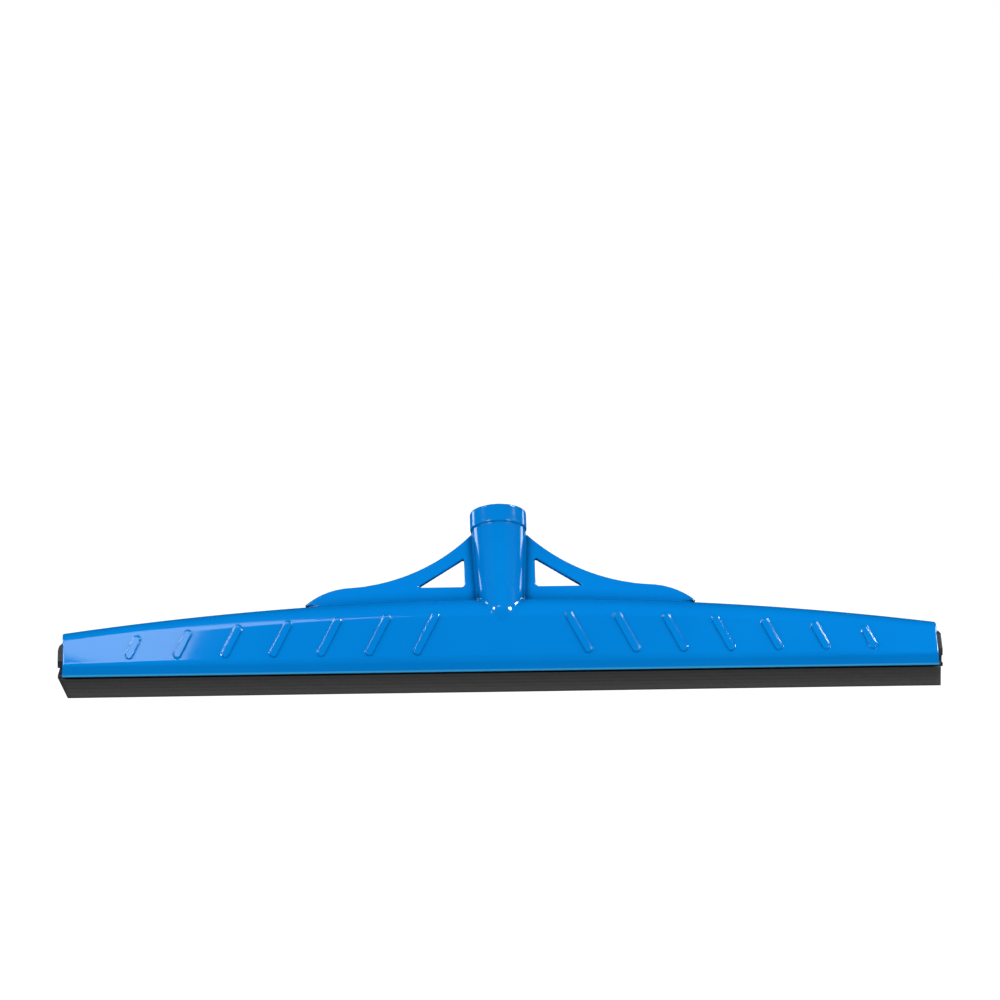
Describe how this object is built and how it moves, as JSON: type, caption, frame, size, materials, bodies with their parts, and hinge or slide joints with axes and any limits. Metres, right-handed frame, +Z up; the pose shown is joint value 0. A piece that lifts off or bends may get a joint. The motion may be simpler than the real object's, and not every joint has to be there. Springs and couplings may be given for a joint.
{
  "type": "floor squeegee head",
  "caption": "Floor squeegee head: arched hollow bar with slanting ribs, leaning winged handle socket, and a slide-in insert with two foam wiper blades.",
  "frame": {"origin": "middle of the front blade's floor face", "axes": "+X along the bar to the right seen from the front, -Y towards the front, +Z up from the floor; the socket leans back towards +Y"},
  "size_m": [0.4546, 0.0565, 0.0935],
  "materials": {
    "blue_plastic": "glossy moulded polypropylene",
    "black_rubber": "satin extruded hard rubber",
    "grey_foam": "matt closed-cell foam rubber with fine lengthwise lines"
  },
  "bodies": {
    "head": {"head": "blue_plastic"},
    "insert": {"blade_rail": "black_rubber", "front_blade": "grey_foam", "rear_blade": "grey_foam"}
  },
  "joints": [
    {"name": "insert_slide", "type": "slide", "parent": "head", "child": "insert", "axis": [1, 0, 0], "range_m": [-0.44, 0.44]}
  ]
}
